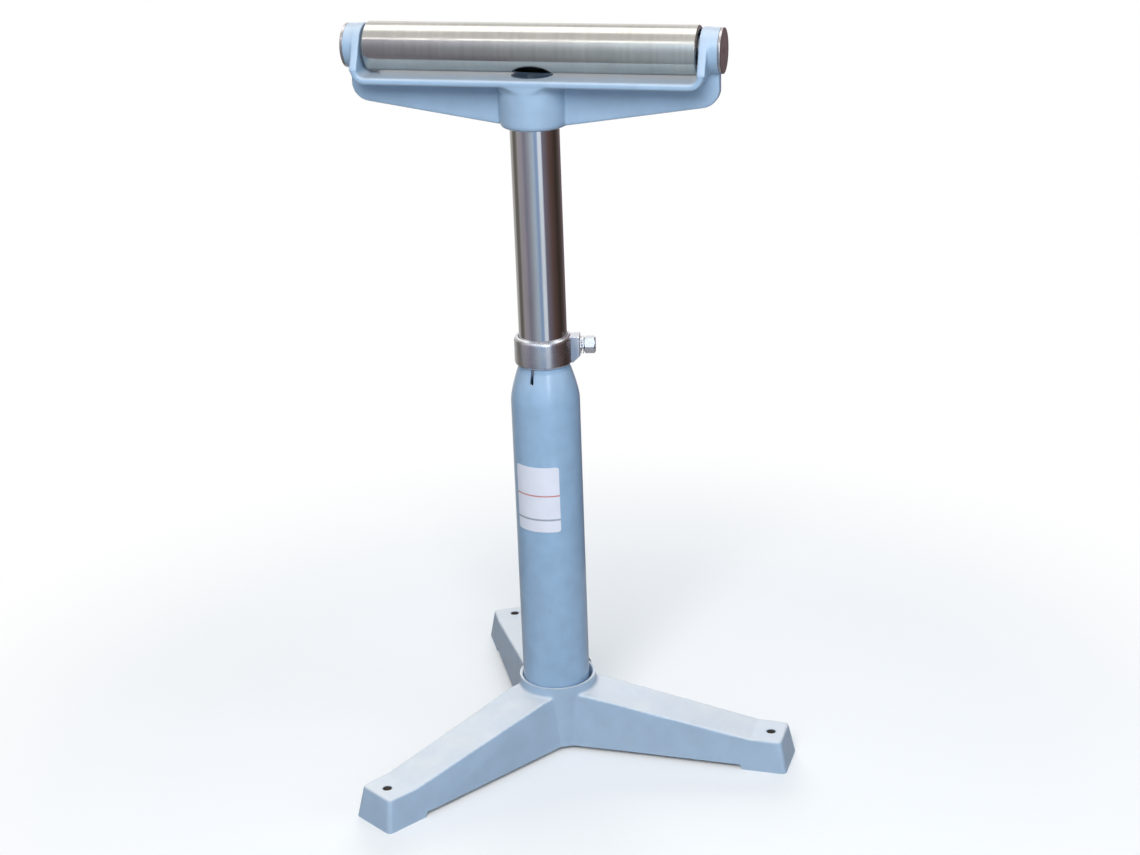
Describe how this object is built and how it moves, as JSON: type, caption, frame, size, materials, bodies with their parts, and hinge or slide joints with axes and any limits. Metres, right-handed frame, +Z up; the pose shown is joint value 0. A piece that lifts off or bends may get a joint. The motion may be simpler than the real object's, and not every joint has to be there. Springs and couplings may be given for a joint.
{
  "type": "roller stand",
  "caption": "Free-standing workshop roller stand: cast tripod base, telescoping column with a screw clamp, cast yoke and a long steel roller on ball bearings.",
  "frame": {"origin": "middle of the footprint's bounding box, on the floor", "axes": "+Z up along the column, +X along the roller"},
  "size_m": [0.48, 0.5058, 0.8301],
  "materials": {
    "painted_casting": "pale steel-blue enamel over a sand casting",
    "painted_tube": "pale steel-blue enamel, satin gloss",
    "zinc_plate": "bright zinc plate",
    "chrome_plate": "polished hard chrome",
    "roller_steel": "turned and polished steel with fine rings",
    "turned_steel": "face-turned steel",
    "bearing_steel": "ground bearing steel",
    "dark_steel": "black oxide",
    "seal_rubber": "matt black",
    "guide_plastic": "natural nylon",
    "cage_brass": "pressed brass"
  },
  "bodies": {
    "base": {"base_casting": "painted_casting", "collar_set_screw": "dark_steel", "outer_tube": "painted_tube", "clamp_ring": "zinc_plate", "clamp_locknut": "zinc_plate"},
    "clamp_screw": {"clamp_screw": "zinc_plate"},
    "guide": {"guide_bush": "guide_plastic"},
    "mast": {"mast_tube": "chrome_plate", "mast_snap_ring": "dark_steel", "mast_foot_flange": "dark_steel", "head_yoke": "painted_casting", "head_set_screw": "dark_steel", "axle": "turned_steel", "axle_cap_left": "turned_steel", "axle_spacer_left": "turned_steel", "bearing_inner_ring_left": "bearing_steel", "axle_cap_right": "turned_steel", "axle_spacer_right": "turned_steel", "bearing_inner_ring_right": "bearing_steel"},
    "roller": {"roller_tube": "roller_steel", "bearing_outer_ring_left": "bearing_steel", "bearing_front_seal_left": "seal_rubber", "bearing_rear_seal_left": "seal_rubber", "bearing_circlip_left": "dark_steel", "bearing_outer_ring_right": "bearing_steel", "bearing_front_seal_right": "seal_rubber", "bearing_rear_seal_right": "seal_rubber", "bearing_circlip_right": "dark_steel"},
    "cage_left": {"bearing_cage_left": "cage_brass"},
    "cage_right": {"bearing_cage_right": "cage_brass"}
  },
  "joints": [
    {"name": "clamp_screw_turn", "type": "hinge", "parent": "base", "child": "clamp_screw", "pos_m": [-0.03773, -0.00441, 0.4808], "axis": [0.977, 0.213, 0], "range_deg": [0, 360]},
    {"name": "height_slide", "type": "slide", "parent": "base", "child": "guide", "axis": [0, 0, 1], "range_m": [-0.229, 0.138]},
    {"name": "head_swivel", "type": "hinge", "parent": "guide", "child": "mast", "pos_m": [-0.03773, -0.00441, 0.5], "axis": [0, 0, 1], "continuous": true},
    {"name": "roller_spin", "type": "hinge", "parent": "mast", "child": "roller", "pos_m": [-0.03773, -0.00441, 0.8046], "axis": [1, 0, 0], "continuous": true},
    {"name": "cage_left_spin", "type": "hinge", "parent": "mast", "child": "cage_left", "pos_m": [-0.03773, -0.00441, 0.8046], "axis": [1, 0, 0], "continuous": true},
    {"name": "cage_right_spin", "type": "hinge", "parent": "mast", "child": "cage_right", "pos_m": [-0.03773, -0.00441, 0.8046], "axis": [1, 0, 0], "continuous": true}
  ],
  "couplings": [
    {"joint": "cage_left_spin", "follows": "roller_spin", "ratio": 0.602},
    {"joint": "cage_right_spin", "follows": "roller_spin", "ratio": 0.602}
  ]
}
